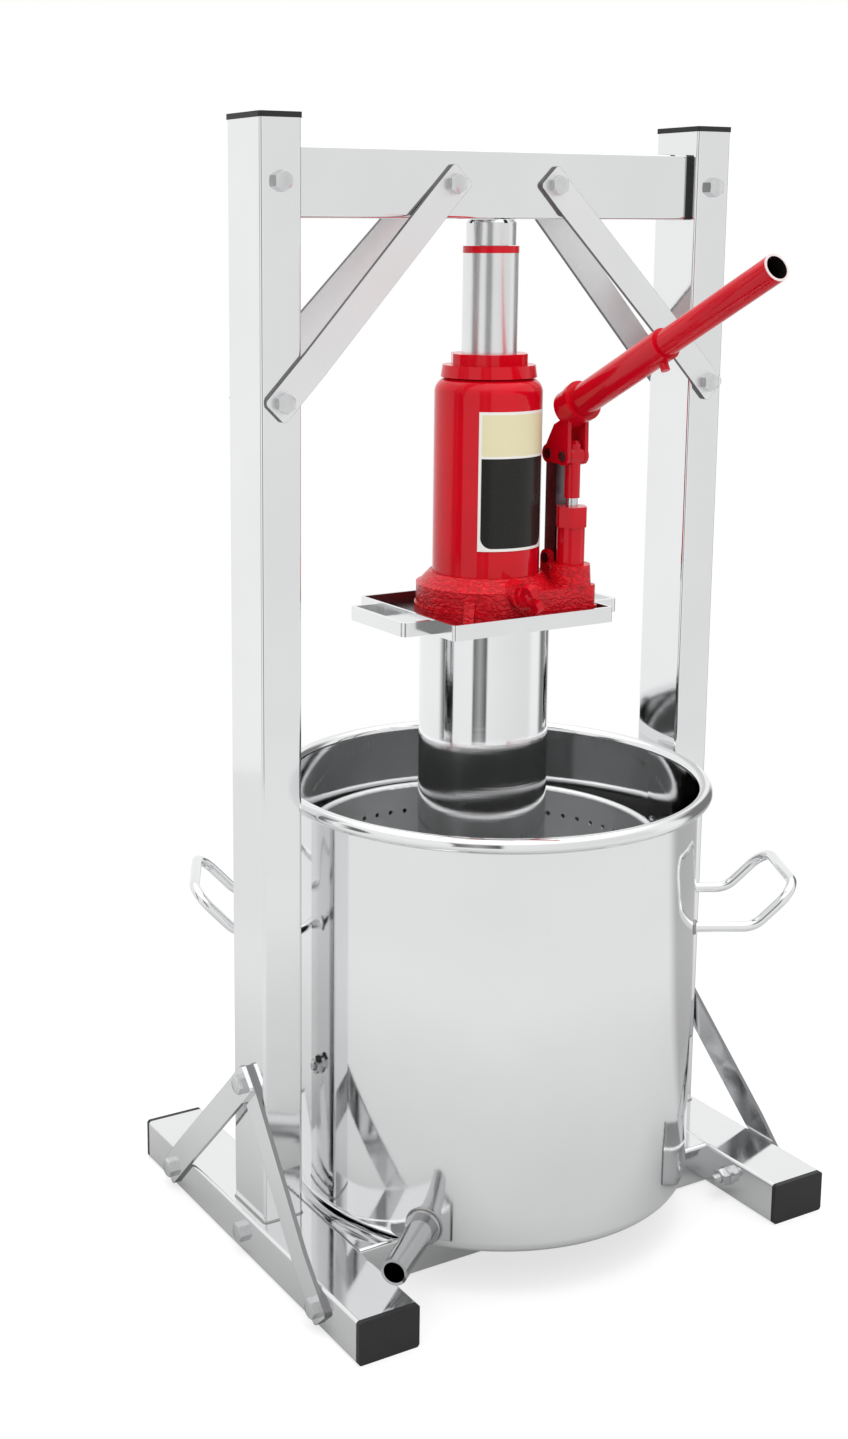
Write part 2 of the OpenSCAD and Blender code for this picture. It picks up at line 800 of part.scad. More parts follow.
module jack_base() {
    link_front = link_y - link_w / 2;
    color(red) difference() {
        union() {
            translate([0, 0, jack_z]) linear_extrude(foot_h) base_outline(0);
            translate([0, 0, jack_z + foot_h]) linear_extrude(base_h - foot_h) base_outline(foot_step);
            translate([0, 0, jack_z + base_h])
                cylinder(r1 = foot_d / 2 - foot_step - 1, r2 = reservoir_d / 2 + 2, h = lip_h);
            on_pump() translate([0, 0, jack_z + base_h])
                cylinder(r1 = boss_r, r2 = boss_r - 0.8, h = boss_h - base_h);
            translate([pump_x - cheek_out, link_front, jack_z + base_h])
                cube([2 * cheek_out, link_w, link_pin_z - jack_z - base_h]);
            across_x(pump_x, link_y, link_pin_z, link_w / 2, 2 * cheek_out);
            across_y(valve_x, -foot_d / 4 - valve_boss_out / 2, jack_z + valve_z, valve_boss_d / 2,
                foot_d / 2 + valve_boss_out);
            translate([0, 0, jack_z]) rotate([90, 0, rib_turn]) linear_extrude(rib_t, center = true)
                polygon([[foot_d / 2 - 6, 0], [foot_d / 2 + rib_out, 0], [foot_d / 2 - 0.5, rib_h],
                    [foot_d / 2 - 6, rib_h]]);
        }
        translate([0, 0, seat_z]) cylinder(d = reservoir_d + 2 * fit, h = base_h + lip_h);
        on_pump() translate([0, 0, jack_z + boss_h - pump_root])
            cylinder(d = pump_d - 2 + 2 * fit, h = pump_root + 1);
        translate([pump_x - plunger_d / 2, link_front, link_foot]) cube([plunger_d, link_w + 20, 40]);
        across_x(pump_x, link_y, link_pin_z, pin_d / 2, 2 * cheek_out + 2);
        across_y(valve_x, -valve_front + valve_in / 2, jack_z + valve_z, valve_d / 2 + fit, valve_in + 2);
    }
}

module reservoir() {
    color(red) translate([0, 0, reservoir_top]) rotate_extrude() mirror([0, 1]) difference() {
        cup_outline(reservoir_d / 2, reservoir_h, shoulder_r);
        translate([0, reservoir_wall])
            cup_outline(reservoir_d / 2 - reservoir_wall, reservoir_h, shoulder_r - reservoir_wall);
        square([plug_r + fit, reservoir_h], center = false);
    }
}

module top_nut() {
    color(red) translate([0, 0, reservoir_top]) difference() {
        union() {
            cylinder(d1 = nut_flange_d, d2 = nut_flange_d - 2, h = nut_flange_h);
            translate([0, 0, nut_flange_h]) intersection() {
                cylinder(d = nut_af / cos(30), h = nut_hex_h, $fn = 6);
                cylinder(d = nut_af + 3, h = nut_hex_h);
            }
            translate([0, 0, -nut_plug_h]) cylinder(r = plug_r, h = nut_plug_h + 1);
        }
        translate([0, 0, -nut_plug_h - 1]) cylinder(r = cyl_r, h = 60);
    }
}

module inner_cylinder() {
    color(zinc) translate([0, 0, seat_z]) difference() {
        cylinder(r = cyl_out, h = reservoir_h - nut_plug_h);
        translate([0, 0, -1]) cylinder(r = cyl_r, h = reservoir_h);
    }
}

// A bare curved field on the reservoir's front
module jack_label() {
    color([0.90, 0.88, 0.75]) translate([0, 0, seat_z + label_z]) rotate([0, 0, -90 - label_span / 2])
        rotate_extrude(angle = label_span)
            translate([reservoir_d / 2 + fit, 0]) square([label_t, label_h]);
}

// Ram, its ring and seal, and the extension screw that bears on the beam

module ram() {
    color(chrome) difference() {
        translate([0, 0, nut_top - ram_in + seal_h])
            cylinder(r = ram_r, h = ram_top - nut_top + ram_in - seal_h);
        translate([0, 0, head_z - screw_len - 2]) cylinder(r = screw_d / 2 + fit, h = screw_len + 10);
    }
}

module ram_seal() {
    color(black) translate([0, 0, nut_top - ram_in]) cylinder(r = ram_r, h = seal_h);
}

module ram_ring() {
    color(red) translate([0, 0, ram_top]) difference() {
        cylinder(r = ram_r + 0.2, h = ring_h);
        translate([0, 0, -1]) cylinder(r = screw_d / 2 + fit, h = ring_h + 2);
    }
}

module extension_screw() {
    color(chrome) difference() {
        union() {
            translate([0, 0, head_z - screw_len]) cylinder(d = screw_d, h = screw_len + 1);
            translate([0, 0, head_z]) cylinder(d = screw_head_d, h = screw_head_h - 1.5);
            translate([0, 0, head_z + screw_head_h - 1.5])
                cylinder(d1 = screw_head_d, d2 = screw_head_d - 3, h = 1.5);
        }
        for (a = [0, 90]) rotate([0, 0, a]) translate([0, 0, head_z + screw_head_h])
            cube([screw_head_d + 2, 2.5, 4], center = true);
    }
}

// Pump cylinder with its gland nut, and the plunger with a slotted eye

module pump_cylinder() {
    color(red) on_pump() translate([0, 0, jack_z + boss_h]) difference() {
        union() {
            translate([0, 0, -pump_root]) cylinder(d = pump_d - 2, h = pump_root + 1);
            cylinder(d = pump_d, h = pump_h + 1);
            translate([0, 0, pump_h]) intersection() {
                cylinder(d = gland_af / cos(30), h = gland_h, $fn = 6);
                cylinder(d = gland_af + 1.7, h = gland_h);
            }
        }
        translate([0, 0, 4 - pump_root]) cylinder(r = rod_d / 2 + fit, h = 80);
    }
}

module pump_plunger() {
    foot = jack_z + boss_h;
    shoulder = pump_top + plunger_up;
    color(red) difference() {
        union() {
            on_pump() {
                translate([0, 0, foot + 4]) cylinder(d = rod_d, h = shoulder - foot);
                translate([0, 0, shoulder]) cylinder(d = plunger_d, h = pin_z + plunger_head - 2 - shoulder);
                translate([0, 0, pin_z + plunger_head - 2])
                    cylinder(d1 = plunger_d, d2 = plunger_d - 3, h = 2);
            }
            across_x(pump_x, -pump_y, pin_z, eye_r, plunger_d);
        }
        translate([pump_x, -pump_y + slot_play / 2, pin_z]) rotate([0, 90, 0])
            linear_extrude(plunger_d + 2, center = true)
            round_rect(pin_d + 0.4, pin_d + slot_play + 0.7, pin_d / 2 - 0.1);
    }
}

module pump_link() {
    color(zinc) difference() {
        union() {
            translate([pump_x - plunger_d / 2, link_y - link_w / 2, link_foot])
                cube([plunger_d, link_w, link_z - link_foot]);
            across_x(pump_x, link_y, link_z, link_w / 2, plunger_d);
        }
        for (z = [link_pin_z, link_z]) across_x(pump_x, link_y, z, pin_d / 2, plunger_d + 2);
    }
}

module link_pins() {
    color(zinc) for (z = [link_pin_z, link_z])
        across_x(pump_x, link_y, z, pin_d / 2, 2 * cheek_out + 1.4);
}

module plunger_pin() {
    color(zinc) across_x(pump_x, -pump_y, pin_z, pin_d / 2, 2 * cheek_out + 1.4);
}

// Side outline of a socket cheek, seen along X with local X as Y and local Y as Z, plunger pin at 0
module cheek_outline() {
    rise = arm * tan(arm_angle);
    c = cos(lever_angle);
    s = sin(lever_angle);
    circle(eye_r);
    translate([arm, -rise]) circle(eye_r);
    polygon([[0, 0.6 - eye_r], [arm, 0.6 - eye_r - rise], [arm + eye_r - 0.6, -rise],
        [socket_back * c, lever_h - socket_back * s],
        [-(socket_front - 4) * c, lever_h + (socket_front - 4) * s], [0.6 - eye_r, 0]]);
}

module handle_socket() {
    color(red) difference() {
        union() {
            on_lever() translate([0, 0, -socket_back])
                cylinder(d = socket_od, h = socket_back + socket_front);
            on_lever() translate([0, 0, socket_front - 3]) cylinder(d = socket_od + 1.6, h = 3.5);
            for (x = [-cheek_out, cheek_in])
                translate([pump_x + x, -pump_y, pin_z]) rotate([90, 0, 90])
                    linear_extrude(cheek_t) cheek_outline();
        }
        on_lever() translate([0, 0, -60]) cylinder(d = socket_id, h = 160);
        across_x(pump_x, link_y, link_z, pin_d / 2 + fit, 2 * cheek_out + 2);
        across_x(pump_x, -pump_y, pin_z, pin_d / 2, 2 * cheek_out + 2);
    }
}

// Lever: a lower tube in the socket and an upper tube that slides in it, held by a screw

module lever_lower() {
    color(red) on_lever() difference() {
        translate([0, 0, -lever_in]) cylinder(d = lever_d, h = lever_len);
        translate([0, 0, -lever_in - 1]) cylinder(d = upper_d + 2 * fit, h = lever_len + 2);
        translate([0, 0, lever_tip - 6]) rotate([90, 0, 0]) cylinder(d = lever_screw_d, h = lever_d);
    }
}

module lever_screw() {
    color(red) on_lever() translate([0, 0, lever_tip - 6]) rotate([90, 0, 0]) difference() {
        cylinder(d = lever_screw_d, h = lever_d / 2 + lever_screw_h);
        rotate([90, 0, 0]) cylinder(r = upper_d / 2 + rest_gap, h = 40, center = true);
    }
}

module lever_upper() {
    color(red) on_lever() translate([0, 0, lever_tip - upper_in]) difference() {
        cylinder(d = upper_d, h = upper_len);
        translate([0, 0, -1]) cylinder(d = upper_d - 2 * upper_wall, h = upper_len + 2);
    }
}

// Release valve: a stem in the base's front boss with a slotted wing that the lever's end fits

module release_valve() {
    tip = foot_d / 2 + valve_out;
    wing = tip - valve_front - 3.5;
    root = valve_front - valve_in;
    color(red) translate([valve_x, 0, jack_z + valve_z]) {
        across_y(0, -(root + tip - wing / 2) / 2, 0, valve_d / 2, tip - wing / 2 - root);
        across_y(0, -valve_front - 1.5, 0, valve_d / 2 + 2.2, 3);
        rotate([0, wing_turn, 0]) translate([0, -tip, -wing_t / 2]) linear_extrude(wing_t) difference() {
            translate([0, wing / 2]) round_rect(wing_w, wing, 2);
            translate([-2, -1]) square([4, wing / 2 + 1]);
        }
    }
}

left_rail();
right_rail();
left_post();
right_post();
top_beam();
cross_box();
rail_caps();
post_caps();
beam_plugs();
top_brace_front_left();
top_brace_front_right();
top_brace_rear_left();
top_brace_rear_right();
base_brace_left_front();
base_brace_left_rear();
base_brace_right_front();
base_brace_right_rear();
long_bolts();
short_bolts();
bolt_nuts();
bolt_washers();
bucket_shell();
bucket_handle_right();
bucket_handle_left();
spout();
basket();
press_tube();
press_plate();
tray();
tray_handle_left();
tray_handle_right();
jack_base();
reservoir();
top_nut();
inner_cylinder();
jack_label();
pump_cylinder();
pump_link();
link_pins();
ram();
ram_ring();
ram_seal();
extension_screw();
pump_plunger();
handle_socket();
plunger_pin();
lever_lower();
lever_screw();
lever_upper();
release_valve();
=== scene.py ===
# %% [markdown]
# A hydraulic fruit press for the kitchen, dressed for its portrait. The solids come packed, in metres,
# with the floor at height 0, the beam along X and the lever to the front, towards -Y. They could be drawn
# again here, but then looks and mechanics could drift apart, so they are loaded as they are and get
# finishes, and only the small made-by-hand details, such as weld beads and threads, are new pieces.

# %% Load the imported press
import math

import bmesh
import bpy
import numpy as np
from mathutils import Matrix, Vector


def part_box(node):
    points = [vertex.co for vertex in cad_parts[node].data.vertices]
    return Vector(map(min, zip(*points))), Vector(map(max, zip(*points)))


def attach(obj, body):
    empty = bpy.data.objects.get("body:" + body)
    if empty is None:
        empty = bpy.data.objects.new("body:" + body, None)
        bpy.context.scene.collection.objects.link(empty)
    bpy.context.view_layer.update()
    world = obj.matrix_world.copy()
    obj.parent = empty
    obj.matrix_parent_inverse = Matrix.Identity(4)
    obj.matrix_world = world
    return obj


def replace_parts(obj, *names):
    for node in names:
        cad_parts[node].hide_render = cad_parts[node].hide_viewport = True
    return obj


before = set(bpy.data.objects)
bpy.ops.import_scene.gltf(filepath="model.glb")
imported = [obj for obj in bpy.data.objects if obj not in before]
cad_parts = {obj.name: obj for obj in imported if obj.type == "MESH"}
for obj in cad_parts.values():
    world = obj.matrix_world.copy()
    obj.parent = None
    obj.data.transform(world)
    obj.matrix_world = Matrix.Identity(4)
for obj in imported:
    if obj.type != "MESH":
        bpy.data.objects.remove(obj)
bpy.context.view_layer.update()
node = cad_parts

# %% [markdown]
# The photograph was taken from the front left, at about the height of the beam, looking slightly down. A
# camera can be placed by eye, but measured corners give it exactly: the focal length in pixels, the point of
# the picture that the lens looks straight at, and two turns. That point lies left of and above the picture's
# middle, so the lens is shifted by the difference, as a fraction of the long side.

# %% Set the camera
PICTURE = (848.0, 1439.0)
FOCAL, LOOK_X, LOOK_Y = 1873.12, 309.62, 587.32
YAW, PITCH = 0.51648, -0.18686
camera_data = bpy.data.cameras.new("portrait_camera")
camera_data.sensor_width = 36.0
camera_data.lens = FOCAL * 36.0 / PICTURE[1]
camera_data.shift_x = (PICTURE[0] / 2 - LOOK_X) / PICTURE[1]
camera_data.shift_y = (LOOK_Y - PICTURE[1] / 2) / PICTURE[1]
camera_data.clip_start, camera_data.clip_end = 0.05, 60.0
camera = bpy.data.objects.new("portrait_camera", camera_data)
camera.location = (-0.62913, -0.89719, 0.58760)
camera.rotation_euler = (math.pi / 2 + PITCH, 0.0, -YAW)
bpy.context.scene.collection.objects.link(camera)
bpy.context.scene.camera = camera
bpy.context.scene.view_settings.view_transform = "Standard"
print("camera with a lens of", round(camera_data.lens, 2), "mm")

# %% [markdown]
# A finish is a small network of shader nodes. Networks are easier to read as sums, so one class wraps a
# value and turns + - * / and comparisons into Math nodes, and a second class is the bench where one
# finish is built: it adds any other node by its type, its settings and its inputs.

# %% Shader arithmetic


class Value:
    """A number that varies over a surface; arithmetic with it adds Math nodes."""

    def __init__(self, bench, socket):
        self.bench, self.socket = bench, socket

    def do(self, operation, *terms):
        """One Math node with these terms in order."""
        return self.bench.add("ShaderNodeMath", {"operation": operation}, dict(enumerate(terms)))

    def __add__(self, other):
        return self.do("ADD", self, other)

    def __sub__(self, other):
        return self.do("SUBTRACT", self, other)

    def __rsub__(self, other):
        return self.do("SUBTRACT", other, self)

    def __mul__(self, other):
        return self.do("MULTIPLY", self, other)

    def __truediv__(self, other):
        return self.do("DIVIDE", self, other)

    def __gt__(self, other):
        return self.do("GREATER_THAN", self, other)

    def __lt__(self, other):
        return self.do("LESS_THAN", self, other)

    __radd__, __rmul__ = __add__, __mul__

    def up_to(self, other):
        return self.do("MINIMUM", self, other)

    def at_least(self, other):
        return self.do("MAXIMUM", self, other)

    def size(self):
        return self.do("ABSOLUTE", self)

    def root(self):
        return self.do("SQRT", self)

    def turn_from(self, other):
        """The angle of the point with this value across and the other one ahead."""
        return self.do("ARCTAN2", self, other)

    def step(self, low, high):
        """0 below low, 1 above high and a smooth rise between."""
        settings = {"interpolation_type": "SMOOTHSTEP"}
        return self.bench.add("ShaderNodeMapRange", settings, {0: self, 1: low, 2: high, 3: 0.0, 4: 1.0})


class Bench:
    """Builds the node network of one material or world."""

    def __init__(self, tree):
        self.tree = tree
        tree.nodes.clear()

    def add(self, kind, settings=None, inputs=None, output=0):
        """Adds a node, sets its settings, then its inputs, and gives back one of its outputs."""
        made = self.tree.nodes.new(kind)
        for key, what in (settings or {}).items():
            if key == "stops":
                self.ramp(made.color_ramp, what)
            else:
                setattr(made, key, what)
        for key, what in (inputs or {}).items():
            self.feed(made.inputs[key], what)
        return Value(self, made.outputs[output])

    def feed(self, socket, what):
        """Links a Value to a socket, or sets a plain number or colour on it."""
        if isinstance(what, Value):
            self.tree.links.new(what.socket, socket)
        else:
            socket.default_value = what

    def ramp(self, ramp, stops):
        """Sets a colour ramp to the given (place, grey or colour) stops."""
        while len(ramp.elements) < len(stops):
            ramp.elements.new(0.5)
        for element, (place, shade) in zip(ramp.elements, stops):
            element.position = place
            element.color = (*shade, 1.0) if isinstance(shade, tuple) else (shade, shade, shade, 1.0)

    def place(self):
        """The point of the surface in the object's own metres."""
        return self.add("ShaderNodeTexCoord", output="Object")

    def axes(self, vector):
        """The three numbers of a vector."""
        apart = self.add("ShaderNodeSeparateXYZ", None, {0: vector})
        return apart, Value(self, apart.socket.node.outputs[1]), Value(self, apart.socket.node.outputs[2])

    def vector(self, operation, first, second, output=0):
        """One Vector Math node on two vectors."""
        return self.add("ShaderNodeVectorMath", {"operation": operation}, {0: first, 1: second}, output)

    def stretched(self, vector, scale):
        """A vector with each axis multiplied by its own factor."""
        return self.vector("MULTIPLY", vector, scale)

    def noise(self, vector, scale, detail, rough):
        """Smooth noise from 0 to 1 with the given number of waves in a metre."""
        return self.add("ShaderNodeTexNoise", None,
                        {"Vector": vector, "Scale": scale, "Detail": detail, "Roughness": rough})

    def mix(self, share, first, second):
        """A colour between two, at share of the way."""
        return self.add("ShaderNodeMix", {"data_type": "RGBA"}, {0: share, 6: first, 7: second}, output=2)

    def bump(self, height, distance):
        """Normals of a surface that is raised by height times distance."""
        return self.add("ShaderNodeBump", None, {"Height": height, "Distance": distance})

    def close(self, kind, shader):
        """Ends the network in an output node of that type."""
        self.feed(self.tree.nodes.new(kind).inputs["Surface"], shader)


def rgb(r, g, b):
    return (r, g, b, 1.0)


FINISH = {}


def finish(name):
    """An empty material with that name and the bench to build it on."""
    made = bpy.data.materials.new(name)
    made.use_nodes = True
    FINISH[name] = made
    return Bench(made.node_tree)


def coat(bench, **sockets):
    """Ends a network in one Principled shader whose sockets are given by name."""
    named = {key.replace("_", " "): what for key, what in sockets.items()}
    bench.close("ShaderNodeOutputMaterial", bench.add("ShaderNodeBsdfPrincipled", None, named))


print("shader bench ready")

# %% [markdown]
# Some measures of the frame are needed more than once: bolts, the cut edges of bars and the weld beads all
# sit by them. They could be typed in, but the box of a loaded solid is always right, so the faces and
# middles of the tubes come from there. Only the bolts' places along the beam, the posts and the rails are
# given.

# %% Measures of the frame
low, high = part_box("right_post")
POST_X, POST_FACE, POST_FRONT, POST_FOOT = (low.x + high.x) / 2, high.x, high.y, low.z
POST_WIDE, POST_DEEP = high.x - low.x, high.y - low.y
low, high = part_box("rail_caps")
RAIL_FACE, RAIL_HALF, RAIL_Z = high.x, high.y, (low.z + high.z) / 2
low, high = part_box("top_beam")
BEAM_FRONT, BEAM_Z = high.y, (low.z + high.z) / 2
BRACE_X, BRACE_Z = 0.0350, 0.4985
STAY_Y, STAY_Z = 0.0900, 0.1050
print("posts at", round(POST_X, 4), "rails out to", round(RAIL_FACE, 4), "beam at", round(BEAM_Z, 4))

# %% [markdown]
# The frame, bucket and press column are polished stainless steel: nearly a mirror, with the faint
# lines of the polishing belt along each tube and round each turned piece, and a few dull hand marks. A
# photograph of brushed metal would repeat and slide, so the lines are noise that is squeezed along one axis:
# few waves along the belt's way and hundreds across it. The basket is only bright-rolled, so it is duller,
# and its steel is given a lighter tint than the rest, painted light that lifts its shaded inside. The
# spout's steel is given a darker tint, which is painted shade.
#
# Some places never saw the belt: the sheared edges of the brace bars, the inside of the tray and the weld
# beads. The cut edges and the tray's inside are rougher, and they are also painted dark: painted shade along
# the bars' edges and inside the tray. An edge of a bar could be picked by its faces, but the distance from
# the line between its two bolts tells it as well, whatever the bar's slope.

# %% Polished stainless steel
BAR_HALF, BAR_END, BAR_ROUND = 0.0085, 0.0080, 0.0025
SKIN = 0.0001
TRAY_SHEET = 0.0020
low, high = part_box("tray")
TRAY_HALF = [side - TRAY_SHEET + SKIN / 2 for side in (high.x, high.y)]
TRAY_FLOOR = low.z + TRAY_SHEET - 5 * SKIN
LINE_ROUGH, LINE_HEIGHT = 0.07, 0.000012
MARK_ROUGH, MARK_WAVES = 0.06, 14.0
RAW_STEEL_AND_SHADE_TINT, RAW_ROUGH = rgb(0.22, 0.22, 0.225), 0.22
UPRIGHT, ALONG_X, ALONG_Y = (900.0, 900.0, 6.0), (6.0, 900.0, 900.0), (900.0, 6.0, 900.0)
CUT_BAR, EVEN = (700.0, 700.0, 20.0), (60.0, 60.0, 60.0)


def sheared(level, first, last):
    """Marks the cut edges of bars between two bolts, each with its reach on a level axis and its height."""
    run, rise = last[0] - first[0], last[1] - first[1]
    length = math.hypot(run, rise)

    def mark(b, point):
        """1 where the distance from the bar's outline less its corner radius is nearly that radius."""
        spot = b.axes(point)
        out, high = spot[level].size() - first[0], spot[2] - first[1]
        along = (out * run + high * rise) / length
        across = (high * run - out * rise) / length
        past = ((along - length / 2).size() - (length / 2 + BAR_END - BAR_ROUND)).at_least(0.0)
        wide = (across.size() - (BAR_HALF - BAR_ROUND)).at_least(0.0)
        return past * past + wide * wide > (BAR_ROUND - SKIN) ** 2

    return mark


def tray_inside(b, point):
    """Marks the floor and the inner walls of the tray."""
    x, y, z = b.axes(point)
    return (x.size() < TRAY_HALF[0]) * (y.size() < TRAY_HALF[1]) * (z > TRAY_FLOOR)


def polished(name, squeeze, rough, base=(0.83, 0.835, 0.84), raw=None):
    """Steel with belt lines along the axis of the small squeeze factor; raw marks what is left dull and
    painted dark as shade.
    """
    b = finish(name)
    point = b.place()
    lines = b.noise(b.stretched(point, squeeze), 1.0, 4.0, 0.6)
    marks = b.noise(point, MARK_WAVES, 3.0, 0.55)
    dull = marks.step(0.52, 0.72)
    tint = b.mix(marks, rgb(*(c * 0.95 for c in base)), rgb(*(min(c * 1.04, 1.0) for c in base)))
    roughness = lines * LINE_ROUGH + (dull * MARK_ROUGH + (rough - LINE_ROUGH / 2))
    if raw:
        left = raw(b, point)
        # painted shade: the cut edges and the tray's inside get a dark tint
        tint = b.mix(left, tint, RAW_STEEL_AND_SHADE_TINT)
        roughness = roughness + left * RAW_ROUGH
    coat(b, Base_Color=tint, Metallic=1.0, Roughness=roughness, Normal=b.bump(lines, LINE_HEIGHT))


polished("steel_upright", UPRIGHT, rough=0.075)
polished("steel_beam", ALONG_X, rough=0.075)
polished("steel_rail", ALONG_Y, rough=0.075)
polished("steel_turned", (3.0, 3.0, 1100.0), rough=0.065)
polished("steel_flat", CUT_BAR, rough=0.13)
polished("steel_brace", CUT_BAR, rough=0.40, raw=sheared(0, (POST_X, BRACE_Z), (BRACE_X, BEAM_Z)))
polished("steel_stay", CUT_BAR, rough=0.13, raw=sheared(1, (STAY_Y, RAIL_Z), (0.0, STAY_Z)))
polished("steel_tray", (6.0, 700.0, 700.0), rough=0.13, raw=tray_inside)
polished("steel_drawn", EVEN, rough=0.10)
# painted shade: the spout's steel is darker than the rest of the same steel
polished("steel_spout_painted_shade", EVEN, base=(0.50, 0.505, 0.51), rough=0.11)
polished("steel_weld", (200.0, 200.0, 200.0), base=(0.34, 0.335, 0.33), rough=0.24)
# painted light: the basket's steel is lighter than the rest to lift its shaded inside
polished("steel_rolled_painted_light", (3.0, 3.0, 900.0), base=(0.90, 0.905, 0.91), rough=0.36)
print("steels:", [name for name in FINISH if name.startswith("steel")])

# %% [markdown]
# The jack is red. Its turned pieces wear a gloss enamel that has settled in a slight orange peel, while the
# base is a raw casting under the same paint. Both could share one bump, but a casting's grain is far coarser
# than a spray's, so wrinkles and a finer noise are added for it, and a darker red is painted into its pits
# as shade. A wrinkle lies where a smooth noise passes its middle value, so its distance from that value
# gives the shape.
# Paint doesn't reach into the lever: within the bore's radius of the lever's axis it is bare, and it is
# given a near-black colour as painted shade inside the bore, and the cut end of the tube has lost its paint.
# The pump's plunger is bare below the shoulder that stays out of its gland.

# %% Red enamel
LEVER_FOOT, LEVER_WAY = (0.0395, -0.0297, 0.4890), (0.0, -0.891007, 0.453990)
LEVER_BORE, LEVER_END = 0.00625, 0.1800
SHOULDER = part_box("pump_cylinder")[1].z + 0.0050
BORE_SHADE, CUT_END, BARE_FOOT = rgb(0.012, 0.008, 0.008), rgb(0.70, 0.60, 0.60), rgb(0.66, 0.665, 0.67)
PEEL_WAVES, PEEL_HEIGHT = 420.0, 0.00004


def enamel(name, colour, peel=PEEL_WAVES, lumps=0.0, lever=False, bare_below=0.0):
    """Red paint over metal with an orange peel, a casting's lumps and a lever's bore in painted shade, or a
    bare foot.
    """
    b = finish(name)
    point = b.place()
    fine = b.noise(point, peel, 2.0, 0.5)
    cloud = b.noise(point, 22.0, 3.0, 0.5)
    # the darker red: a random tone on smooth paint, and painted shade in a casting's pits
    dark_tone_and_pit_shade = tuple(c * (0.70 if lumps else 0.84) for c in colour)
    if lumps:
        grain = b.noise(b.stretched(point, (1.0, 1.0, 1.6)), 210.0, 2.0, 0.5)
        wrinkle = ((grain - 0.5).size() * 6.0).up_to(1.0)
        height = wrinkle * 0.7 + grain * 0.4 + fine * 0.15
        # painted shade: the wrinkles' pits get the darker red
        shade = (wrinkle * 0.7 + cloud * 0.3).step(0.15, 0.55)
        normal = b.bump(height, lumps)
        roughness = grain * 0.12 + 0.15
    else:
        shade = cloud.step(0.25, 0.7)
        normal = b.bump(fine, PEEL_HEIGHT)
        roughness = cloud * 0.08 + 0.17
    tint = b.mix(shade, rgb(*dark_tone_and_pit_shade), rgb(*colour))
    if lever:
        apart = b.vector("SUBTRACT", point, LEVER_FOOT)
        along = b.vector("DOT_PRODUCT", apart, LEVER_WAY, "Value")
        span = b.vector("DOT_PRODUCT", apart, apart, "Value")
        tint = b.mix(along > LEVER_END, tint, CUT_END)
        # painted shade: the inside of the lever's bore is near black
        tint = b.mix(span - along * along < LEVER_BORE**2, tint, BORE_SHADE)
    metal = 0.0
    if bare_below:
        metal = b.axes(point)[2] < bare_below
        tint = b.mix(metal, tint, BARE_FOOT)
    shine, gleam = (0.0, 0.28) if lumps else (0.5, 0.05)
    coat(b, Base_Color=tint, Metallic=metal, Roughness=roughness, Normal=normal,
         Coat_Weight=(1.0 - metal) * shine, Coat_Roughness=0.04, Specular_IOR_Level=gleam)


enamel("enamel_jack", (0.63, 0.002, 0.012))
enamel("enamel_lever", (0.58, 0.002, 0.012), lever=True)
enamel("enamel_plunger", (0.58, 0.002, 0.012), bare_below=SHOULDER)
enamel("enamel_cast", (0.64, 0.005, 0.014), peel=700.0, lumps=0.00042)
print("red finishes:", [name for name in FINISH if name.startswith("enamel")])

# %% [markdown]
# The remaining finishes are small ones: moulded black plugs with a fine leather-like grain, zinc-plated
# bolts that have clouded a little, the blackened link and pins of the pump, and the seal's rubber inside the
# cylinder. Each could have its own network, but all four are one noise that moves tint, roughness and height
# together, so one function makes them. The hard chrome of the ram has grinding lines round it as well.

# %% Plugs, plating, oxide, rubber and chrome


def clouded(name, waves, dark, light, rough, height, detail=3.0, **more):
    """A finish that follows one noise: from dark to light, over a range of roughness, raised by height."""
    b = finish(name)
    cloud = b.noise(b.place(), waves, detail, 0.6)
    smooth, dull = rough
    coat(b, Base_Color=b.mix(cloud, rgb(*dark), rgb(*light)), Roughness=cloud * (dull - smooth) + smooth,
         Normal=b.bump(cloud, height), **more)


clouded("plug_plastic", 1500.0, (0.012, 0.012, 0.013), (0.024, 0.024, 0.026), rough=(0.38, 0.56),
        height=0.00008, detail=2.0, Specular_IOR_Level=0.3)
clouded("zinc_plate", 160.0, (0.58, 0.585, 0.59), (0.76, 0.765, 0.77), rough=(0.15, 0.31),
        height=0.00003, Metallic=1.0)
clouded("black_oxide", 220.0, (0.10, 0.09, 0.095), (0.20, 0.18, 0.19), rough=(0.26, 0.46),
        height=0.00004, Metallic=1.0)
clouded("seal_rubber", 300.0, (0.016, 0.016, 0.016), (0.04, 0.04, 0.04), rough=(0.55, 0.75), height=0.00001)

b = finish("ram_chrome")
point = b.place()
rings = b.noise(b.stretched(point, (4.0, 4.0, 1600.0)), 1.0, 3.0, 0.6)
haze = b.noise(point, 30.0, 2.0, 0.5)
coat(b, Base_Color=b.mix(haze, rgb(0.74, 0.745, 0.75), rgb(0.82, 0.825, 0.83)), Metallic=1.0,
     Roughness=rings * 0.10 + 0.20, Normal=b.bump(rings, 0.00001))
print("small finishes made, in all", len(FINISH))

# %% [markdown]
# The label on the jack is left bare: a white film with a cream field above a black one whose lower corners
# are round. It could be three stacked skins, but printed ink has no thickness, so the fields are drawn by
# the distance round the reservoir and the height. A round-cornered field is every point that lies within
# the corner radius of a smaller box.

